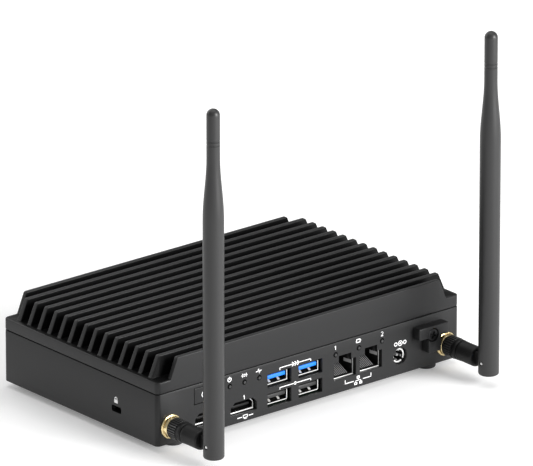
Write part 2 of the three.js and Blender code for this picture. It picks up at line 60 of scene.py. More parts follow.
TO_ROW = Matrix.Translation(CASE_ORIGIN) @ Matrix.Scale(MM, 4)


def case_box(node):
    """A CAD node's lowest and highest corners, in case millimetres."""
    low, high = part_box(node)
    return (low - CASE_ORIGIN) / MM, (high - CASE_ORIGIN) / MM


WIDTH = (CASE_FAR.x - CASE_ORIGIN.x) / MM
DEPTH = (CASE_FAR.y - CASE_ORIGIN.y) / MM
CORNER_R = 2.4
CHASSIS_TOP = 26.75
COVER_LOW = 27.05
RIM_Z = 33
FIN_TOP = case_box("heatsink_cover")[1].z
PANEL_T = 1.7
WALL_T = 2.2
FACE = 2                        # Y of the connectors' front faces
FIN_COUNT = 14
FIN_PITCH = 7.81
FIN_MIDDLE_Y = 59.4

USB_X = (77.1, 96.9)
USB_Z = (7, 17.2)
VIDEO_X = (32, 54.45)
NETWORK_X = (119, 135.7)
NETWORK_CUT = {"width": 14.2, "z": (7, 16.1), "notch": 8, "top": 19.3}
NETWORK_MOUTH = {"width": 12, "z": (7.5, 15.5), "notch": 6.6, "top": 18.7}
LED_Z = 20.5
LED_R = 1.4
LED_X = (45.6, 54.9, 64.2, 112.9, 127.9, 142.8)
JACK = (154.6, 9.6)             # power jack's axis, X and Z
BUTTON_X, BUTTON_Z = (23.4, 36.1), (16.6, 24.6)
LOCK_Y, LOCK_Z = (27.7, 35), (9, 12.3)
ANTENNA_Z = 9.2
PIN_Y = -32.8
ANTENNA_R = 5.2
KNUCKLE_R = 3.4
TONGUE_HALF = 1.9               # half the thickness of the barrel's tongue
FORK_SLOT_HALF = 2.2            # half the width of the antenna's slot around it
PIN_HOLE_R = 1.1
STEM_HOLE_R = 3.3               # hole for the coaxial connector's thread
BARREL_END_Y = -24.8            # clear of the circle that the antenna's lower corner sweeps
SIDES = {"left": 8.3, "right": 183.8}
INK_T = 0.03                    # thickness of the printed markings


# ------------------------------------------------------------------------- materials
def new_material(name, color, roughness, metallic=0.0, specular=0.5):
    material = bpy.data.materials.new(name)
    material.use_nodes = True
    shader = material.node_tree.nodes["Principled BSDF"]
    shader.inputs["Base Color"].default_value = (*color, 1)
    shader.inputs["Roughness"].default_value = roughness
    shader.inputs["Metallic"].default_value = metallic
    shader.inputs["Specular IOR Level"].default_value = specular
    return material


def grain(material, color, spread, scale, bump, distance, rough, stretch=(1, 1, 1)):
    """Fine noise over a material: colour spread, surface bump and uneven gloss."""
    tree = material.node_tree
    nodes, links = tree.nodes, tree.links
    shader = nodes["Principled BSDF"]
    place = nodes.new("ShaderNodeTexCoord")
    mapping = nodes.new("ShaderNodeMapping")
    mapping.inputs["Scale"].default_value = stretch
    links.new(place.outputs["Object"], mapping.inputs["Vector"])
    noise = nodes.new("ShaderNodeTexNoise")
    noise.inputs["Scale"].default_value = scale
    noise.inputs["Detail"].default_value = 3
    links.new(mapping.outputs["Vector"], noise.inputs["Vector"])
    tint = nodes.new("ShaderNodeMix")
    tint.data_type = "RGBA"
    tint.inputs["A"].default_value = (*[c * (1 - spread) for c in color], 1)
    tint.inputs["B"].default_value = (*[c * (1 + spread) for c in color], 1)
    links.new(noise.outputs["Fac"], tint.inputs["Factor"])
    links.new(tint.outputs["Result"], shader.inputs["Base Color"])
    relief = nodes.new("ShaderNodeBump")
    relief.inputs["Strength"].default_value = bump
    relief.inputs["Distance"].default_value = distance
    links.new(noise.outputs["Fac"], relief.inputs["Height"])
    links.new(relief.outputs["Normal"], shader.inputs["Normal"])
    gloss = nodes.new("ShaderNodeMapRange")
    gloss.inputs["To Min"].default_value = rough[0]
    gloss.inputs["To Max"].default_value = rough[1]
    links.new(noise.outputs["Fac"], gloss.inputs["Value"])
    links.new(gloss.outputs["Result"], shader.inputs["Roughness"])
    return material


def powder_coat(name, level, specular=0.3):
    color = (level, level * 1.01, level * 1.04)
    material = new_material(name, color, 0.4, specular=specular)
    return grain(material, color, 0.1, 2600, 0.12, 0.00006, (0.34, 0.44))


def plastic(name, color, roughness, scale=1800, specular=0.5):
    material = new_material(name, color, roughness, specular=specular)
    gloss = (roughness - 0.05, roughness + 0.07)
    return grain(material, color, 0.06, scale, 0.08, 0.00005, gloss)


def metal(name, color, roughness, stretch=(1, 1, 1), metallic=1.0):
    material = new_material(name, color, roughness, metallic)
    gloss = (roughness - 0.06, roughness + 0.1)
    return grain(material, color, 0.06, 900, 0.03, 0.00003, gloss, stretch)


CASE_PAINT = powder_coat("case_paint", 0.014)
DARK_STEEL = metal("black_steel", (0.03, 0.03, 0.031), 0.38)
DULL_STEEL = metal("dull_steel", (0.3, 0.3, 0.3), 0.45, (1, 6, 1), 0.3)
WIRE_STEEL = metal("wire_steel", (0.6, 0.6, 0.6), 0.35, (1, 6, 1), 0.4)
SPRING_STEEL = metal("spring_steel", (0.6, 0.6, 0.6), 0.4, (1, 6, 1), 0.15)
# painted shade for the fins' flanks and the floor between them, a darker copy of the case paint
FIN_PAINTED_SHADE = powder_coat("painted_shade_between_fins", 0.003, 0.12)
BRIGHT_STEEL = metal("bright_steel", (0.86, 0.86, 0.85), 0.3, (1, 6, 1), 0.5)
ALUMINIUM = metal("milled_aluminium", (0.74, 0.75, 0.76), 0.35, (1, 8, 1))
BRASS = metal("gold_plate", (0.92, 0.75, 0.42), 0.25)
BLACK_PLASTIC = plastic("black_plastic", (0.008, 0.008, 0.0082), 0.42, specular=0.3)
# painted highlight for the crests of the nuts' ribs
RIB_HIGHLIGHT = plastic("painted_rib_highlight", (0.045, 0.045, 0.045), 0.35)
BARREL_PLASTIC = plastic("barrel_plastic", (0.007, 0.007, 0.0072), 0.45, specular=0.3)
ANTENNA_PLASTIC = plastic("antenna_plastic", (0.022, 0.022, 0.0222), 0.4)
BLUE_PLASTIC = plastic("blue_plastic", (0.012, 0.22, 0.95), 0.4)
CLEAR_PLASTIC = plastic("light_pipe", (0.028, 0.0285, 0.029), 0.35)
GREY_PLASTIC = plastic("grey_plastic", (0.03, 0.03, 0.03), 0.4)
# near-black socket plastic, also used as painted shade on the inner faces of the metal socket shells
SOCKET_BLACK_AND_SHADE = plastic("socket_black_and_shade", (0.005, 0.005, 0.005), 0.45, specular=0.3)
RUBBER = plastic("rubber", (0.016, 0.016, 0.017), 0.75, 900)
BOARD = plastic("solder_mask", (0.004, 0.012, 0.006), 0.4, 300)
CHIP = plastic("chip_resin", (0.025, 0.026, 0.028), 0.5, 700)
PAD = plastic("silicone_pad", (0.35, 0.4, 0.45), 0.7, 500)
INK = plastic("white_ink", (0.86, 0.86, 0.86), 0.5)


# ---------------------------------------------------------------------- mesh helpers
def mesh_object(name, bm):
    mesh = bpy.data.meshes.new(name)
    bmesh.ops.recalc_face_normals(bm, faces=bm.faces)
    bm.to_mesh(mesh)
    bm.free()
    obj = bpy.data.objects.new(name, mesh)
    bpy.context.scene.collection.objects.link(obj)
    return obj


def apply_modifiers(obj):
    graph = bpy.context.evaluated_depsgraph_get()
    mesh = bpy.data.meshes.new_from_object(obj.evaluated_get(graph))
    old = obj.data
    obj.modifiers.clear()
    obj.data = mesh
    bpy.data.meshes.remove(old)
    return obj


def bevel(obj, width, segments=2, angle=35):
    modifier = obj.modifiers.new("bevel", "BEVEL")
    modifier.width = width
    modifier.segments = segments
    modifier.limit_method = "ANGLE"
    modifier.angle_limit = math.radians(angle)
    modifier.use_clamp_overlap = True
    return apply_modifiers(obj)


def combine(obj, tools, operation):
    """Joins, cuts or intersects with each tool in turn, and removes the tools."""
    for tool in tools:
        modifier = obj.modifiers.new("boolean", "BOOLEAN")
        modifier.operation = operation
        modifier.solver = "EXACT"
        modifier.object = tool
    apply_modifiers(obj)
    for tool in tools:
        mesh = tool.data
        bpy.data.objects.remove(tool)
        bpy.data.meshes.remove(mesh)
    return obj


def cut(obj, *tools):
    return combine(obj, tools, "DIFFERENCE")


def join(obj, *tools):
    return combine(obj, tools, "UNION")


def merge(name, pieces):
    """Several separate shells as one object."""
    bm = bmesh.new()
    for piece in pieces:
        bm.from_mesh(piece.data)
        mesh = piece.data
        bpy.data.objects.remove(piece)
        bpy.data.meshes.remove(mesh)
    return mesh_object(name, bm)


def block(x, y, z):
    bm = bmesh.new()
    bmesh.ops.create_cube(bm, size=1)
    size = Vector((x[1] - x[0], y[1] - y[0], z[1] - z[0]))
    middle = Vector((x[0] + x[1], y[0] + y[1], z[0] + z[1])) / 2
    for vertex in bm.verts:
        vertex.co = Vector([c * s for c, s in zip(vertex.co, size)]) + middle
    return mesh_object("block", bm)


def prism(outline, low, high, axis="Y"):
    """A closed outline pushed from low to high: drawn in X-Z for Y, in X-Y for Z, in Y-Z for X."""
    place = {
        "X": lambda a, b, depth: (depth, a, b),
        "Y": lambda a, b, depth: (a, depth, b),
        "Z": lambda a, b, depth: (a, b, depth),
    }[axis]
    bm = bmesh.new()
    near = [bm.verts.new(place(a, b, low)) for a, b in outline]
    far = [bm.verts.new(place(a, b, high)) for a, b in outline]
    bm.faces.new(near)
    bm.faces.new(far)
    count = len(outline)
    for i in range(count):
        k = (i + 1) % count
        bm.faces.new((near[i], near[k], far[k], far[i]))
    return mesh_object("prism", bm)


def turned(profile, center, axis="Y", sides=48):
    """A profile of (radius, height) turned about a line through center along axis."""
    bm = bmesh.new()
    rings = []
    for radius, height in profile:
        if radius == 0:
            rings.append([bm.verts.new((0, 0, height))])
            continue
        ring = []
        for i in range(sides):
            angle = 2 * math.pi * i / sides
            ring.append(bm.verts.new((radius * math.cos(angle), radius * math.sin(angle), height)))
        rings.append(ring)
    for lower, upper in zip(rings, rings[1:]):
        for i in range(sides):
            k = (i + 1) % sides
            if len(lower) == 1 and len(upper) == 1:
                continue
            if len(lower) == 1:
                bm.faces.new((lower[0], upper[k], upper[i]))
            elif len(upper) == 1:
                bm.faces.new((lower[i], lower[k], upper[0]))
            else:
                bm.faces.new((lower[i], lower[k], upper[k], upper[i]))
    for ring in (rings[0], rings[-1]):
        if len(ring) > 1:
            bm.faces.new(ring)
    turn = {
        "Z": Matrix.Identity(4),
        "Y": Matrix.Rotation(math.radians(-90), 4, "X"),
        "X": Matrix.Rotation(math.radians(90), 4, "Y"),
    }[axis]
    bmesh.ops.transform(bm, matrix=Matrix.Translation(Vector(center)) @ turn, verts=bm.verts)
    return mesh_object("turned", bm)


def close_ring(obj):
    """Replaces the end caps of a turned ring by its inner wall, so that it is open through."""
    bm = bmesh.new()
    bm.from_mesh(obj.data)
    caps = [f for f in bm.faces if len(f.verts) > 4]
    loops = [list(f.verts) for f in caps]
    bmesh.ops.delete(bm, geom=caps, context="FACES_ONLY")
    first, last = loops
    matched = []
    for vertex in first:
        matched.append(min(last, key=lambda v: (v.co.xz - vertex.co.xz).length))
    for i in range(len(first)):
        k = (i + 1) % len(first)
        bm.faces.new((first[i], first[k], matched[k], matched[i]))
    bmesh.ops.recalc_face_normals(bm, faces=bm.faces)
    bm.to_mesh(obj.data)
    bm.free()


def skin(name, bm, rings):
    """Joins rings of equal length into one closed shell with flat ends."""
    count = len(rings[0])
    for near, far in zip(rings, rings[1:]):
        for i in range(count):
            k = (i + 1) % count
            bm.faces.new((near[i], near[k], far[k], far[i]))
    bm.faces.new(rings[0])
    bm.faces.new(rings[-1])
    return mesh_object(name, bm)


def spin(obj, center, angle):
    """Turns a piece made at the origin about the Y axis, and moves it to center."""
    turn = Matrix.Rotation(math.radians(angle), 4, "Y")
    obj.data.transform(Matrix.Translation(center) @ turn)
    return obj


def rod(center, low, high, radius, axis="Y", sides=32):
    return turned([(radius, low), (radius, high)], center, axis, sides)


def arc(cx, cy, radius, start, end, steps):
    """Points along an arc, angles in degrees."""
    angles = [math.radians(start + (end - start) * i / steps) for i in range(steps + 1)]
    return [(cx + radius * math.cos(a), cy + radius * math.sin(a)) for a in angles]


def rounded(a, b, radius, steps=6):
    """Outline of a rectangle with round corners."""
    (a0, a1), (b0, b1) = a, b
    points = arc(a1 - radius, b0 + radius, radius, -90, 0, steps)
    points += arc(a1 - radius, b1 - radius, radius, 0, 90, steps)
    points += arc(a0 + radius, b1 - radius, radius, 90, 180, steps)
    points += arc(a0 + radius, b0 + radius, radius, 180, 270, steps)
    return points


def around(middle, width):
    return (middle - width / 2, middle + width / 2)


def place(obj, name, body, slot, material, replaces=(), angle=32):
    """Moves a finished piece from case millimetres to the row frame and hands it over."""
    obj.name = name
    obj.data.name = name
    obj.data.transform(TO_ROW)
    obj.data.materials.clear()
    obj.data.materials.append(material)
    for face in obj.data.polygons:
        face.use_smooth = True
    obj.data.set_sharp_from_angle(angle=math.radians(angle))
    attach(obj, body)
    if replaces:
        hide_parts(*replaces)


def paint_shade_inside(obj, front):
    """Leaves a socket's front edge bright, and paints shade over all that lies further in: those faces get a
    near-black material in place of the shade inside the socket.
    """
    obj.data.materials.append(SOCKET_BLACK_AND_SHADE)
    for face in obj.data.polygons:
        if (face.center.y - CASE_ORIGIN.y) / MM > front:
            face.material_index = 1


# ---------------------------------------------------------------------- the heatsink
def fin_section(y, base, top, crown, height, flare):
    """Outline of a fin in Y-Z, cut off at a height: flared foot, leaning sides, round crown."""
    foot = RIM_Z - (0.5 if flare else 3)
    shoulder = height - crown
    lean = (base - top) / 2 / (FIN_TOP - RIM_Z)
    right = [(base / 2 + flare, foot)]
    for out, up in ((flare, 0), (flare * 0.35, 0.15), (flare * 0.1, 0.5)):
        z = min(RIM_Z + up, shoulder - 0.08 + up * 0.1)
        right.append((base / 2 - lean * up + out, z))
    half = base / 2 - lean * (shoulder - RIM_Z)
    right += arc(half - crown, shoulder, crown, 0, 90, 5)
    return [(y + a, z) for a, z in right] + [(y - a, z) for a, z in reversed(right)]


def fin_end(base_x, top_x, round_r):
    """Stations (x, height) up a fin's sloping end, with a round corner at the top."""
    slope = (FIN_TOP - RIM_Z) / (top_x - base_x)
    tilt = math.degrees(math.atan(slope))
    corner = round_r * math.tan(math.radians(tilt / 2))
    stations = [(base_x - 1.0, RIM_Z - 0.3), (base_x - 0.35, RIM_Z + 0.02), (base_x, RIM_Z + 0.25),
                (base_x + 0.3, RIM_Z + 0.8)]
    crest = arc(0, 0, round_r, 90 + tilt, 90, 5)
    stations += [(top_x + corner + a, FIN_TOP - round_r + b) for a, b in crest]
    return stations


def fin_piece(y, base, top, crown, base_x, top_x, flare):
    """A fin lofted through its stations from one end to the other."""
    ends = fin_end(base_x, top_x, 1.1)
    stations = ends + [(WIDTH - x, z) for x, z in reversed(ends)]
    bm = bmesh.new()
    rings = []
    for x, height in stations:
        outline = fin_section(y, base, top, crown, height, flare)
        rings.append([bm.verts.new((x, a, z)) for a, z in outline])
    return skin("fin", bm, rings)


def heatsink_cover():
    body = prism(rounded((0, WIDTH), (0, DEPTH), CORNER_R, 10), COVER_LOW, RIM_Z, "Z")
    bevel(body, 0.55, 3)
    cut(body, block((3, WIDTH - 3), (3, DEPTH - 3), (COVER_LOW - 1, RIM_Z - 3)))
    fins = []
    for i in range(FIN_COUNT):
        y = FIN_MIDDLE_Y + (i - (FIN_COUNT - 1) / 2) * FIN_PITCH
        fins.append(fin_piece(y, 2.9, 2.5, 0.5, 2.6, 7.3, 0.45))
    wall = 2.4
    for y in (wall / 2, DEPTH - wall / 2):
        fins.append(fin_piece(y, wall, wall, 0.5, 8.5, 12.9, 0))
    join(body, *fins)
    place(body, "finned_cover", "case", "case_paint", CASE_PAINT, ["heatsink_cover"])
    paint_shade_between_fins(body)


def paint_shade_between_fins(cover):
    """Painted shade: a darker copy of the case paint on the fins' flanks and on the floor between them,
    where the gaps fall into shade.
    """
    cover.data.materials.append(FIN_PAINTED_SHADE)
    inset = 0.8
    for face in cover.data.polygons:
        middle = (face.center - CASE_ORIGIN) / MM
        inside = inset < middle.y < DEPTH - inset and inset < middle.x < WIDTH - inset
        floor_face = face.normal.z > 0.7 and abs(middle.z - RIM_Z) < 0.3
        flank = abs(face.normal.y) > 0.8 and RIM_Z - 0.3 < middle.z < FIN_TOP - 0.3
        if inside and (floor_face or flank):
            face.material_index = 1


heatsink_cover()


# ----------------------------------------------------------------------- the chassis
def video_outline(x, width, z, chamfer):
    low, high = z
    half = width / 2
    return [
        (x - half, low), (x + half, low), (x + half, high - chamfer),
        (x + half - chamfer, high), (x - half + chamfer, high), (x - half, high - chamfer),
    ]


def notched(x, shape, grow=0.0):
    """Outline of a network socket: a box with a latch notch on top."""
    half, notch = shape["width"] / 2 + grow, shape["notch"] / 2 + grow
    low, high, top = shape["z"][0] - grow, shape["z"][1] + grow, shape["top"] + grow
    return [
        (x - half, low), (x + half, low), (x + half, high), (x + notch, high),
        (x + notch, top), (x - notch, top), (x - notch, high), (x - half, high),
    ]


def chassis():
    body = prism(rounded((INK_T, WIDTH), (0, DEPTH), CORNER_R, 10), 0, CHASSIS_TOP, "Z")
    bevel(body, 0.3, 2)
    join(body, prism(rounded((1, WIDTH - 1), (1, DEPTH - 1), 1.4, 8), 20, CHASSIS_TOP + 0.2, "Z"))
    hollow = rounded((WALL_T, WIDTH - WALL_T), (PANEL_T, DEPTH - WALL_T), 1.2, 4)
    cutters = [prism(hollow, -1, COVER_LOW + 1, "Z")]
    through = (-1, PANEL_T + 1)
    cutters.append(block((BUTTON_X[0] - 0.35, BUTTON_X[1] + 0.35), through,
                         (BUTTON_Z[0] - 0.35, BUTTON_Z[1] + 0.35)))
    for x in VIDEO_X:
        cutters.append(prism(video_outline(x, 16.5, (4.5, 11.1), 2.5), *through))
    for x in USB_X:
        for z in USB_Z:
            cutters.append(prism(rounded(around(x, 15.2), around(z, 7.4), 0.5, 3), *through))
    for x in NETWORK_X:
        cutters.append(prism(notched(x, NETWORK_CUT), *through))
    for x in LED_X:
        cutters.append(rod((x, 0, LED_Z), *through, LED_R))
    cutters.append(rod((JACK[0], 0, JACK[1]), *through, 4.4, sides=48))
    for x in SIDES.values():
        cutters.append(rod((x, 0, ANTENNA_Z), *through, STEM_HOLE_R))
    cutters.append(prism(rounded(LOCK_Y, LOCK_Z, 0.9, 5), -1, WALL_T + 1, "X"))
    cut(body, *cutters)
    bevel(body, 0.12, 1, 50)
    place(body, "lower_chassis", "case", "case_paint", CASE_PAINT, ["chassis"])


chassis()


def feet_and_screws():
    for i in range(1, 5):
        low, high = case_box(f"rubber_foot_{i}")
        middle = (low + high) / 2
        radius = (high.x - low.x) / 2
        edge = 0.8
        profile = [(0, low.z)] + [
            (radius - edge + r, low.z + edge + z) for r, z in arc(0, 0, edge, -90, 0, 5)
        ] + [(radius, high.z), (0, high.z)]
        foot = turned(profile, (middle.x, middle.y, 0), "Z", 40)
        place(foot, f"foot_{i}", "case", "rubber", RUBBER, [f"rubber_foot_{i}"])
        low, high = case_box(f"case_screw_{i}")
        middle = (low + high) / 2
        radius = (high.x - low.x) / 2
        profile = [(0, low.z), (radius - 0.1, low.z), (radius, low.z + 0.1), (1.5, low.z + 1), (1.5, high.z),
                   (0, high.z)]
        screw = turned(profile, (middle.x, middle.y, 0), "Z", 32)
        depth = (low.z - 1, low.z + 0.5)
        cut(screw, block(around(middle.x, 0.5), around(middle.y, 2.4), depth),
            block(around(middle.x, 2.4), around(middle.y, 0.5), depth))
        place(screw, f"underside_screw_{i}", "case", "steel_black", DARK_STEEL, [f"case_screw_{i}"])


feet_and_screws()


# -------------------------------------------------------------------- the connectors
def usb_sockets():
    width, height, wall, depth = 13.1, 5.8, 0.5, 17
    for side, x in zip(("left", "right"), USB_X):
        node = f"usb_shell_{side}"
        low, high = case_box(node)
        shell = prism(rounded((low.x, high.x), (low.z, high.z), 0.8, 4), FACE, FACE + depth)
        mouths = []
        for z in USB_Z:
            inner = rounded(around(x, width - 2 * wall), around(z, height - 2 * wall), 0.45, 4)
            mouths.append(prism(inner, FACE - 1, FACE + depth - 1))
        mouths.append(block((low.x - 1, high.x + 1), (FACE - 1, FACE + 1.2),
                            (USB_Z[0] + height / 2, USB_Z[1] - height / 2)))
        cut(shell, *mouths)
        bevel(shell, 0.08, 1, 50)
        place(shell, f"usb_housing_{side}", "case", "steel_bright", BRIGHT_STEEL, [node])
        # painted shade on the shell's faces behind its front edge
        paint_shade_inside(shell, FACE + 0.3)
        for level, z in zip(("lower", "upper"), USB_Z):
            node = f"usb_tongue_{side}_{level}"
            top = z + height / 2 - wall - 0.7
            blade = bevel(block(around(x, 11.2), (FACE + 0.4, FACE + 13), (top - 1.9, top)), 0.2, 2)
            stop = block(around(x, 12), (FACE + 11.2, FACE + 14.9), around(z, height - 2 * wall - 0.4))
            join(blade, stop)
            material = BLUE_PLASTIC if level == "upper" else GREY_PLASTIC
            slot = "plastic_blue" if level == "upper" else "plastic_black"
            place(blade, f"usb_blade_{side}_{level}", "case", slot, material, [node])
            brow = (z + height / 2 - wall - 0.02, z + height / 2 + 0.05)
            hood = bevel(block(around(x, width + 0.1), (FACE - 0.12, FACE + 0.1), brow), 0.04)
            place(hood, f"usb_brow_{side}_{level}", "case", "plastic_black", SOCKET_BLACK_AND_SHADE)
            pads = []
            for i in range(4):
                pad_x = x + (i - 1.5) * 2.5
                pads.append(block(around(pad_x, 1.1), (FACE + 1, FACE + 10), (top - 1.98, top - 1.88)))
            contacts = merge("contacts", pads)
            place(contacts, f"usb_contacts_{side}_{level}", "case", "brass", BRASS)
            tabs = []
            for offset in (-3.4, 2.4):
                tabs.append(spring_tab(x + offset, z - height / 2 + wall, 1.3))
            place(merge("tabs", tabs), f"usb_springs_{side}_{level}", "case", "steel_bright", BRIGHT_STEEL)


def spring_tab(x, z, width):
    """A bowed leaf that stands up from a socket's lower wall."""
    start, length, rise, thick = FACE + 1.4, 5, 1.3, 0.2
    steps = 8
    upper = []
    for i in range(steps + 1):
        t = i / steps
        upper.append((start + length * t, z + 0.02 + rise * math.sin(math.pi * t)))
    lower = [(y, height - thick * 0.9) for y, height in reversed(upper)]
    lower = [(y, max(height, z + 0.005)) for y, height in lower[1:-1]]
    return prism(upper + lower, x - width / 2, x + width / 2, "X")


usb_sockets()


def video_sockets():
    width, z, chamfer, wall, depth = 15, (5, 10.6), 2, 0.5, 12
    for i, x in enumerate(VIDEO_X, 1):
        shell = prism(video_outline(x, width, z, chamfer), FACE, FACE + depth)
        bevel(shell, 0.35, 3, 30)
        inner = video_outline(x, width - 2 * wall, (z[0] + wall, z[1] - wall), chamfer - 0.15)
        cut(shell, prism(inner, FACE - 1, FACE + depth - 1))
        place(shell, f"video_housing_{i}", "case", "steel_bright", BRIGHT_STEEL, [f"video_shell_{i}"])
        # painted shade on the shell's faces behind its front edge
        paint_shade_inside(shell, FACE + 0.3)
        lip = bevel(block(around(x, width - 0.8), (FACE - 0.5, FACE), (z[0] - 0.1, z[0] + 0.5)), 0.12, 2)
        place(lip, f"video_lip_{i}", "case", "steel_bright", BRIGHT_STEEL)
        middle = (z[0] + z[1]) / 2
        blade = bevel(block(around(x, 10.5), (FACE + 0.6, FACE + 9), around(middle, 1.2)), 0.15, 2)
        stop = block(around(x, width - 2 * wall - 4.6), (FACE + 8, FACE + 10.5), (z[0] + 0.55, z[1] - 0.55))
        join(blade, stop)
        place(blade, f"video_blade_{i}", "case", "plastic_black", SOCKET_BLACK_AND_SHADE, [f"video_tongue_{i}"])
        pads = []
        for k in range(9):
            pad_x = x + (k - 4)
            pads.append(block(around(pad_x, 0.45), (FACE + 1, FACE + 7), (middle - 0.66, middle - 0.58)))
        place(merge("pads", pads), f"video_contacts_{i}", "case", "brass", BRASS)


video_sockets()


def network_jacks():
    for i, x in enumerate(NETWORK_X, 1):
        low, high = case_box(f"network_shield_{i}")
        shield = prism(rounded((low.x, high.x), (low.z, high.z), 0.4, 3), FACE, high.y)
        inner = block((low.x + 0.5, high.x - 0.5), (FACE + 0.5, high.y + 1), (low.z + 0.5, high.z - 0.5))
        cut(shield, inner, prism(notched(x, NETWORK_MOUTH), FACE - 1, FACE + 2))
        bevel(shield, 0.1, 1, 50)
        place(shield, f"network_housing_{i}", "case", "steel_bright", BRIGHT_STEEL, [f"network_shield_{i}"])
        # painted shade over the whole shield, as every face lies behind this depth
        paint_shade_inside(shield, FACE - 1)
        edge, floor_z, top_z = x + NETWORK_MOUTH["width"] / 2, NETWORK_MOUTH["z"][0], NETWORK_MOUTH["z"][1]
        lip = bevel(block((x - 6.3, edge + 0.3), (FACE - 0.5, FACE), (floor_z - 0.45, floor_z)), 0.12, 2)
        place(lip, f"network_lip_{i}", "case", "steel_bright", BRIGHT_STEEL)
        side = bevel(block((edge + 0.02, edge + 0.3), (FACE - 0.5, FACE), (floor_z + 0.1, top_z)), 0.08, 2)
        place(side, f"network_side_lip_{i}", "case", "steel_bright", DULL_STEEL)
        low, high = case_box(f"network_insert_{i}")
        insert = block((low.x, high.x), (low.y, high.y), (low.z, high.z))
        cut(insert, prism(notched(x, NETWORK_MOUTH), FACE - 1, FACE + 14))
        place(insert, f"network_body_{i}", "case", "plastic_black", SOCKET_BLACK_AND_SHADE, [f"network_insert_{i}"])
        wires = [contact_wire(x + (k - 3.5) * 1.02) for k in range(8)]
        place(merge("wires", wires), f"network_wires_{i}", "case", "steel_bright", WIRE_STEEL)
        place(side_spring(x), f"network_spring_{i}", "case", "steel_bright", SPRING_STEEL)


def contact_wire(x):
    """A wire that rises from the socket's front floor towards its back."""
    floor = NETWORK_MOUTH["z"][0]
    line = [(FACE + 0.9, floor + 0.6), (FACE + 8.6, floor + 4.6), (FACE + 9.2, floor + 4.6)]
    thick = 0.16
    outline = line + [(y + 0.12, z - thick) for y, z in reversed(line)]
    return prism(outline, x - 0.13, x + 0.13, "X")


def side_spring(x):
    """A flat finger on the socket's right wall, which grips the plug's shield."""
    wall = x + NETWORK_MOUTH["width"] / 2
    outline = [(wall - 0.02, FACE + 0.3), (wall - 0.7, FACE + 4.8), (wall - 0.7, FACE + 5.4),
               (wall - 0.02, FACE + 5.8), (wall - 0.02, FACE + 5.4), (wall - 0.5, FACE + 5)]
    return prism(outline, 12.5, 14.3, "Z")


network_jacks()


def power_jack():
    x, z = JACK
    low, high = case_box("power_jack")
    body = bevel(block((low.x, high.x), (FACE, high.y), (low.z, high.z)), 0.3, 2)
    cut(body, rod((x, 0, z), FACE - 1, high.y - 3, 3.2, sides=48))
    place(body, "power_socket", "case", "plastic_black", SOCKET_BLACK_AND_SHADE, ["power_jack"])
    profile = [(3.1, FACE + 6), (3.1, FACE + 0.02), (3.75, FACE), (3.75, FACE - 0.4),
               (3.65, FACE - 0.5), (3.0, FACE - 0.5), (2.9, FACE - 0.4), (2.9, FACE + 6)]
    sleeve = turned(profile, (x, 0, z), "Y", 32)
    close_ring(sleeve)
    slots = []
    for angle in (45, -135, -205):
        slots.append(spin(block((2, 5), (FACE - 1, FACE + 4), (-0.6, 0.6)), (x, 0, z), angle))
    cut(sleeve, *slots)
    place(sleeve, "power_sleeve", "case", "steel_bright", BRIGHT_STEEL)
    # painted shade inside the sleeve, behind its front lip
    paint_shade_inside(sleeve, FACE - 0.35)
    leaves = []
    for angle in (20, 110, 200, 290):
        leaf = bevel(block((2.1, 2.5), (FACE + 0.2, FACE + 8), (-0.5, 0.5)), 0.1, 2)
        leaves.append(spin(leaf, (x, 0, z), angle))
    place(merge("leaves", leaves), "power_springs", "case", "steel_bright", DULL_STEEL)
    profile = [(0, FACE + 0.2), (0.5, FACE + 0.3), (0.75, FACE + 0.8), (0.8, FACE + 1.4),
               (0.8, high.y - 3), (0, high.y - 3)]
    pin = turned(profile, (x, 0, z), "Y", 24)
    place(pin, "power_pin", "case", "steel_bright", DULL_STEEL)


power_jack()


def power_button():
    cap = prism(rounded(BUTTON_X, BUTTON_Z, 0.4, 4), 0, 2.6)
    bevel(cap, 0.22, 2)
    join(cap, block((BUTTON_X[0] - 1, BUTTON_X[1] + 1), (2, 3), (BUTTON_Z[0] - 0.8, BUTTON_Z[1] + 0.8)))
    place(cap, "button_cap", "power_button", "case_paint", CASE_PAINT, ["power_button"])


power_button()


def light_pipes():
    off_x, off_z = 0.32, -0.26      # the pipes sit slightly off the centres of their holes
    tip_profile = [(0, -0.1), (0.7, -0.05), (0.82, 0.1), (0.82, 2)]
    for name, holes in (("status", LED_X[:3]), ("network", LED_X[3:])):
        node = f"{name}_light_guide"
        low, high = case_box(node)
        guide = block((low.x, high.x), (1.86, 3.4), (LED_Z - 0.2, high.z))
        parts = []
        for x in holes:
            parts.append(turned(tip_profile, (x + off_x, 0, LED_Z + off_z), "Y", 24))
            parts.append(block(around(x, 1.6), (1.86, high.y), (LED_Z - 0.2, high.z)))
            parts.append(block(around(x, 1.6), (high.y - 1.6, high.y), (low.z, high.z)))
        join(guide, *parts)
        place(guide, f"{name}_pipes", "case", "plastic_clear", CLEAR_PLASTIC, [node])


light_pipes()


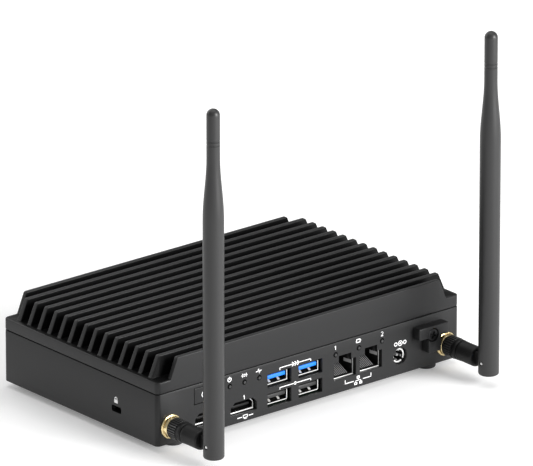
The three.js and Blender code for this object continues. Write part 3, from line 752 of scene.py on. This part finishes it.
def cable_hook():
    low, high = case_box("cable_hook")
    arm_z, leg_x = 16.7, (169, 177.1)
    outline = [
        (low.x, arm_z), (leg_x[0], arm_z), (leg_x[0], low.z), (leg_x[1], low.z), (leg_x[1], arm_z),
        (high.x, arm_z), (high.x, high.z), (low.x, high.z),
    ]
    hook = bevel(prism(outline, low.y, high.y), 0.4, 3)
    head_low, head_high = case_box("cable_hook_screw")
    middle = (head_low + head_high) / 2
    recess = turned([(3.6, low.y - 1), (3.6, low.y + 1.9)], (middle.x, 0, middle.z), "Y", 48)
    cut(hook, recess, rod((middle.x, 0, middle.z), low.y, 1, 1.7))
    bevel(hook, 0.1, 1, 60)
    place(hook, "lead_hook", "case", "plastic_black", CASE_PAINT, ["cable_hook"])
    top = head_low.y
    profile = [(0, top), (2.2, top + 0.05), (3, top + 0.3), (3.3, top + 0.7), (3.3, top + 1.4),
               (1.4, top + 1.4), (1.4, head_high.y), (0, head_high.y)]
    screw = turned(profile, (middle.x, 0, middle.z), "Y", 48)
    slots = []
    for angle in (20, 110):
        tool = block((-1.9, 1.9), (top - 1, top + 0.9), (-0.42, 0.42))
        slots.append(spin(tool, (middle.x, 0, middle.z), angle))
    cut(screw, *slots)
    place(screw, "hook_screw", "case", "steel_black", DARK_STEEL, ["cable_hook_screw"])


cable_hook()


# ---------------------------------------------------------------------- the antennas
def coaxial(side, x):
    z = ANTENNA_Z
    thread = [(0, -8.6)]
    y = -8.6
    while y < -3.2:
        thread += [(2.7, y), (3, y + 0.15), (3, y + 0.3), (2.7, y + 0.45)]
        y += 0.6
    thread += [(3, -3), (3, 5), (1.5, 5), (1.5, 10), (0, 10)]
    body = turned(thread, (x, 0, z), "Y", 32)
    flange = turned([(4.6, FACE), (4.6, FACE + 2)], (x, 0, z), "Y", 6)
    join(body, flange)
    place(body, f"coaxial_{side}", "case", "brass", BRASS, [f"antenna_connector_{side}"])
    profile = [(6.1, -0.06), (6.15, -0.5), (6, -0.8), (5.75, -0.94), (STEM_HOLE_R, -0.94),
               (STEM_HOLE_R, -0.06)]
    washer = turned(profile, (x, 0, z))
    close_ring(washer)
    place(washer, f"washer_{side}", "case", "brass", BRASS, [f"connector_washer_{side}"])
    nut = turned([(6, -1), (6, -3)], (x, 0, z), "Y", 6)
    cone = turned([(4.7, -3.05), (4.9, -3), (5.6, -2.5), (5.6, -0.5)], (x, 0, z), "Y", 48)
    combine(nut, [cone], "INTERSECT")
    cut(nut, rod((x, 0, z), -4, 0, STEM_HOLE_R))
    bevel(nut, 0.12, 1, 40)
    place(nut, f"hex_nut_{side}", "case", "brass", BRASS, [f"connector_nut_{side}"])


def swivel_nut(side, x):
    """A black nut with fine ribs along it, whose crests carry a lighter painted highlight."""
    ribs, deep = 28, 0.5
    rib_from, rib_to, radius_mid = -9.4, -3.6, 5.2
    bm = bmesh.new()
    stations = [(-3.3, 5.0, 0), (rib_to, radius_mid, 1), (rib_from, radius_mid, 1), (-9.6, 5.08, 0),
                (-10, 5.08, 0), (-10.2, 5.2, 0), (-12.5, 5.2, 0), (-12.8, 4.95, 0)]
    rings = []
    for y, radius, ribbed in stations:
        ring = []
        for i in range(ribs * 4):
            high = ribbed and i % 4 != 3
            r = radius + (0.2 if high else 0.2 - deep if ribbed else 0)
            angle = 2 * math.pi * i / (ribs * 4)
            ring.append(bm.verts.new((x + r * math.cos(angle), y, ANTENNA_Z + r * math.sin(angle))))
        rings.append(ring)
    nut = skin("nut", bm, rings)
    cut(nut, rod((x, 0, ANTENNA_Z), -9, 0, STEM_HOLE_R), rod((x, 0, ANTENNA_Z), -14, -8, 2.2))
    place(nut, f"ribbed_nut_{side}", "case", "plastic_black", BLACK_PLASTIC, [f"swivel_nut_{side}"], 50)
    # painted highlight: the crests of the ribs get a lighter plastic
    nut.data.materials.append(RIB_HIGHLIGHT)
    axis = Vector((x, ANTENNA_Z))
    for face in nut.data.polygons:
        middle = (face.center - CASE_ORIGIN) / MM
        if rib_from < middle.y < rib_to and (middle.xz - axis).length > 5.3:
            face.material_index = 1


def swivel_barrel(side, x):
    z = ANTENNA_Z
    end = BARREL_END_Y
    profile = [(0, -10), (1.9, -10), (1.9, -13.1), (4.7, -13.1), (5.0, -13.25), (5.1, -13.6), (5.1, -14.4),
               (5.02, -14.6), (5.08, end + 1.2), (4.95, end + 0.5), (4.6, end + 0.1), (4.3, end), (0, end)]
    body = turned(profile, (x, 0, z), "Y", 64)
    arm = block(around(x, 2 * TONGUE_HALF), (PIN_Y, end + 1), around(z, 2 * KNUCKLE_R))
    knuckle = rod((0, PIN_Y, z), x - TONGUE_HALF, x + TONGUE_HALF, KNUCKLE_R, "X", 48)
    join(body, arm, knuckle)
    cut(body, rod((0, PIN_Y, z), x - 3, x + 3, PIN_HOLE_R, "X", 24))
    bevel(body, 0.15, 1, 50)
    place(body, f"barrel_{side}", f"{side}_swivel", "plastic_black", BARREL_PLASTIC,
          [f"swivel_barrel_{side}"])
    low, high = case_box(f"fold_pin_{side}")
    profile = [(0, low.x - 0.1), (0.55, low.x - 0.05), (0.8, low.x + 0.2), (0.8, high.x - 0.2),
               (0.55, high.x + 0.05), (0, high.x + 0.1)]
    pin = turned(profile, (0, PIN_Y, z), "X", 24)
    place(pin, f"hinge_pin_{side}", f"{side}_swivel", "steel_bright", BRIGHT_STEEL,
          [f"fold_pin_{side}"])


def antenna_profile():
    low, high = case_box("antenna_left")
    edge, tip = 1.1, 3.3
    profile = [(0, low.z)]
    profile += [(ANTENNA_R - edge + r, low.z + edge + z) for r, z in arc(0, 0, edge, -90, 0, 8)]
    shoulder, neck = 124.7, 156.7
    steps = 24
    for i in range(steps + 1):
        t = i / steps
        blend = (1 - math.cos(math.pi * t)) / 2
        profile.append((ANTENNA_R + (tip - ANTENNA_R) * blend, shoulder + (neck - shoulder) * t))
    for groove in (163.0, 164.9):
        bottom = tip - 0.22
        profile += [(tip, groove - 0.35), (bottom, groove - 0.15), (bottom, groove + 0.15),
                    (tip, groove + 0.35)]
    profile += [(r, high.z - tip + z) for r, z in arc(0, 0, tip, 0, 84, 12)]
    profile.append((0, high.z))
    return profile


def antenna(side, x):
    z = ANTENNA_Z
    body = turned(antenna_profile(), (x, PIN_Y, 0), "Z", 72)
    reach = KNUCKLE_R + 0.3
    slot = rounded((PIN_Y - reach, PIN_Y + 9), (-6, z + reach), 2, 6)
    cut(body, prism(slot, x - FORK_SLOT_HALF, x + FORK_SLOT_HALF, "X"),
        rod((0, PIN_Y, z), x - 8, x + 8, PIN_HOLE_R, "X", 24))
    bevel(body, 0.12, 1, 55)
    place(body, f"rod_antenna_{side}", f"{side}_antenna", "antenna_plastic", ANTENNA_PLASTIC,
          [f"antenna_{side}"])


for side_name, side_x in SIDES.items():
    coaxial(side_name, side_x)
    swivel_nut(side_name, side_x)
    swivel_barrel(side_name, side_x)
    antenna(side_name, side_x)


# ----------------------------------------------------------- pieces inside the case
INNER = {
    "mainboard": BOARD, "processor": CHIP, "thermal_pad": PAD, "heat_transfer_block": ALUMINIUM,
    "memory_socket": BLACK_PLASTIC, "memory_module": BOARD, "solid_state_drive": CHIP,
    "wireless_card": BOARD, "antenna_lead_left": BLACK_PLASTIC, "antenna_lead_right": BLACK_PLASTIC,
    "power_switch": BOARD, "bottom_cover": CASE_PAINT,
}
INNER.update({f"board_screw_{i}": BRIGHT_STEEL for i in range(1, 5)})
for node_name, look in INNER.items():
    node = frame["nodes"][node_name]
    node.data.materials.clear()
    node.data.materials.append(look)


# ------------------------------------------------------------------ printed markings
# Flat white shapes a few hundredths of a millimetre proud of the painted metal.


def printed(name, shapes, body="case"):
    """Shapes are outlines in X-Z, or (outline, hole) pairs."""
    pieces = []
    for shape in shapes:
        if isinstance(shape, tuple):
            outer, hole = shape
            piece = prism(outer, -INK_T, 0.01)
            cut(piece, prism(hole, -1, 1))
        else:
            piece = prism(shape, -INK_T, 0.01)
        pieces.append(piece)
    place(merge(name, pieces), name, body, "plastic_clear", INK)


def stroke(a, b, width):
    """A straight line of the given width between two points, as an outline."""
    (ax, az), (bx, bz) = a, b
    length = math.hypot(bx - ax, bz - az)
    nx, nz = -(bz - az) / length * width / 2, (bx - ax) / length * width / 2
    return [(ax + nx, az + nz), (ax - nx, az - nz), (bx - nx, bz - nz), (bx + nx, bz + nz)]


def disc(x, z, radius):
    sides = 20
    return arc(x, z, radius, 0, 360 - 360 / sides, sides - 1)


def circle(x, z, radius, width):
    return (disc(x, z, radius + width / 2), disc(x, z, radius - width / 2))


def frame_of(x, z, wide, tall, width):
    outer = rounded(around(x, wide), around(z, tall), 0.2, 2)
    inner = rounded(around(x, wide - 2 * width), around(z, tall - 2 * width), 0.1, 2)
    return (outer, inner)


def open_ring(x, z, radius, width, gap):
    """A ring with an opening at the top, as on a power symbol."""
    start, end = 90 + gap, 450 - gap
    return arc(x, z, radius + width / 2, start, end, 24) + arc(x, z, radius - width / 2, end, start, 24)


def markings():
    line = 0.42
    middle_x, middle_z = sum(BUTTON_X) / 2, sum(BUTTON_Z) / 2
    printed("power_symbol", [open_ring(middle_x, middle_z, 1.7, line, 28),
                             stroke((middle_x, middle_z + 0.2), (middle_x, middle_z + 2.2), line)],
            "power_button")
    top = LED_Z + 3.6
    status = [open_ring(45.4, top, 1.05, 0.5, 30), stroke((45.4, top), (45.4, top + 1.5), 0.45)]
    middle, right = LED_X[1] - 0.1, LED_X[2] - 0.3
    status += [stroke((middle - 1.9, top), (middle + 1.9, top), 0.45), disc(middle, top, 0.75)]
    status += [stroke((middle + side, top - 1), (middle + side, top + 1), 0.4) for side in (-1.2, 1.2)]
    pulse = [(-1.8, -0.1), (-0.6, -0.1), (-0.1, 1.3), (0.4, -1.3), (0.8, 0.1), (1.8, 0.1)]
    for (ax, az), (bx, bz) in zip(pulse, pulse[1:]):
        status.append(stroke((right + ax, top + az), (right + bx, top + bz), 0.45))
    printed("status_symbols", status)
    below = VIDEO_X[1] + 0.9
    printed("video_figure", figure_one(VIDEO_X[1] + 0.25, 12.75) + [frame_of(below, 2.7, 3, 1.7, 0.4)]
            + [stroke((below - 0.8, 1.5), (below + 0.8, 1.5), 0.35)]
            + [stroke((below + side * 2.2, 2.6), (below + side * 5, 2.6), 0.5) for side in (-1, 1)])
    printed("usb_upper_line", bracket(77.1, 97.2, 22.4, -1.1) + chevrons(87.1, 22.4))
    printed("usb_lower_line", bracket(77.1, 97.2, 12.1, -1) + [disc(87.1, 12.1, 0.85)])
    numbers = LED_Z + 3.6
    leds = LED_X[3:]
    printed("network_figures", figure_one(leds[0], numbers) + figure_two(leds[2], numbers)
            + [frame_of(127.5, numbers + 0.2, 2.6, 2, 0.45), stroke((125.8, numbers), (126.4, numbers), 0.4),
               stroke((128.6, numbers + 0.3), (129.3, numbers + 0.3), 0.4)])
    middle = sum(NETWORK_X) / 2 + 0.15
    network = bracket(middle - 8.6, middle - 2.9, 3.7, 1.9, "left")
    network += bracket(middle + 3, middle + 8.4, 3.7, 1.9, "right")
    network += [frame_of(middle, 5.2, 1.9, 1.5, 0.45), stroke((middle, 4.5), (middle, 3.6), 0.4),
                stroke((middle - 1.8, 3.6), (middle + 1.8, 3.6), 0.4)]
    for side in (-1.6, 1.6):
        network.append(frame_of(middle + side, 2.2, 1.9, 1.4, 0.45))
        network.append(stroke((middle + side, 3.6), (middle + side, 2.8), 0.4))
    printed("network_symbol", network)
    x, z = JACK[0], JACK[1] + 6.8
    printed("polarity_symbol", [circle(x - 2.9, z, 0.85, 0.45), circle(x, z, 1.25, 0.4), disc(x, z, 0.55),
                                circle(x + 2.9, z, 0.85, 0.45), stroke((x - 2.05, z), (x - 1.2, z), 0.45),
                                stroke((x + 1.2, z), (x + 2.05, z), 0.45)])


def bracket(x0, x1, z, tick, ends="both"):
    """A level line with short ticks at its ends."""
    width = 0.45
    shapes = [stroke((x0, z), (x1, z), width)]
    if ends != "right":
        shapes.append(stroke((x0 + width / 2, z), (x0 + width / 2, z + tick), width))
    if ends != "left":
        shapes.append(stroke((x1 - width / 2, z), (x1 - width / 2, z + tick), width))
    return shapes


def chevrons(x, z):
    """Three arrow heads, for the faster sockets."""
    shapes = []
    for offset in (-1.6, 0, 1.6):
        tip = x + offset + 0.9
        shapes.append(stroke((tip - 1.3, z + 1.1), (tip, z), 0.5))
        shapes.append(stroke((tip - 1.3, z - 1.1), (tip, z), 0.5))
    return shapes


def figure_one(x, z):
    return [stroke((x, z - 1.1), (x, z + 1.1), 0.45), stroke((x - 0.6, z + 0.5), (x, z + 1), 0.4)]


def figure_two(x, z):
    top = arc(x, z + 0.55, 0.62, 160, -30, 8)
    bend = top + [(x - 0.6, z - 1)]
    lines = [stroke(a, b, 0.3) for a, b in zip(bend, bend[1:])]
    return lines + [stroke((x - 0.75, z - 1), (x + 0.75, z - 1), 0.35)]


def lock_symbol():
    """A padlock above the lock slot, on the left end of the case."""
    y, z = sum(LOCK_Y) / 2 + 0.3, LOCK_Z[1] + 2.6
    body = prism(rounded(around(y, 2.7), (z - 1.1, z + 0.7), 0.2, 2), 0, INK_T + 0.01, "X")
    big, small, foot = 1.05, 0.55, z + 0.4
    outer = arc(y, z + 1.1, big, 180, 0, 10) + [(y + big, foot), (y + small, foot)]
    shackle = outer + arc(y, z + 1.1, small, 0, 180, 10) + [(y - small, foot), (y - big, foot)]
    loop = prism(shackle, 0, INK_T + 0.01, "X")
    place(merge("lock", [body, loop]), "lock_symbol", "case", "plastic_clear", INK)


markings()
lock_symbol()


# ---------------------------------------------------------------- floor, light, camera
def floor():
    bm = bmesh.new()
    bmesh.ops.create_grid(bm, x_segments=1, y_segments=1, size=6)
    ground = mesh_object("floor", bm)
    look = new_material("floor", (0.9, 0.9, 0.9), 0.9)
    shader = look.node_tree.nodes["Principled BSDF"]
    shader.inputs["Emission Color"].default_value = (1, 1, 1, 1)
    shader.inputs["Emission Strength"].default_value = 0.2
    ground.data.materials.append(look)


def area_light(name, position, target, size, power):
    """A softbox that lights the object without showing in any view."""
    light = bpy.data.lights.new(name, "AREA")
    light.shape = "RECTANGLE"
    light.size, light.size_y = size
    light.energy = power
    obj = bpy.data.objects.new(name, light)
    bpy.context.scene.collection.objects.link(obj)
    obj.location = position
    way = Vector(target) - Vector(position)
    obj.rotation_euler = way.to_track_quat("-Z", "Y").to_euler()
    obj.visible_camera = False


def world(strength):
    bpy.context.scene.world = bpy.data.worlds.new("studio")
    bpy.context.scene.world.use_nodes = True
    background = bpy.context.scene.world.node_tree.nodes["Background"]
    background.inputs["Color"].default_value = (1, 1, 1, 1)
    background.inputs["Strength"].default_value = strength


def camera():
    """A long lens, about 20 degrees above level, facing the connector panel and the left end."""
    azimuth, elevation = math.radians(39.88), math.radians(20.26)
    distance, sensor = 5.12, 36
    target = Vector((0.00682, 0.00063, 0.0779))
    level = math.cos(elevation)
    way = Vector((math.sin(azimuth) * level, math.cos(azimuth) * level, -math.sin(elevation)))
    data = bpy.data.cameras.new("camera")
    data.sensor_width = sensor
    data.lens = 705.5
    data.clip_end = 100
    obj = bpy.data.objects.new("camera", data)
    bpy.context.scene.collection.objects.link(obj)
    obj.location = target - way * distance
    obj.rotation_euler = way.to_track_quat("-Z", "Y").to_euler()
    bpy.context.scene.camera = obj


floor()
world(0.34)
area_light("key", (0.9, -2.5, 0.95), (0, 0, 0.03), (1.4, 1.4), 115)
area_light("back", (-0.3, 2.2, 1.1), (0, 0, 0.03), (3.2, 1.2), 24)
area_light("top", (0.1, 0.3, 1.8), (0, 0, 0), (1.6, 1.6), 12)
camera()
bpy.context.scene.view_settings.view_transform = "Standard"
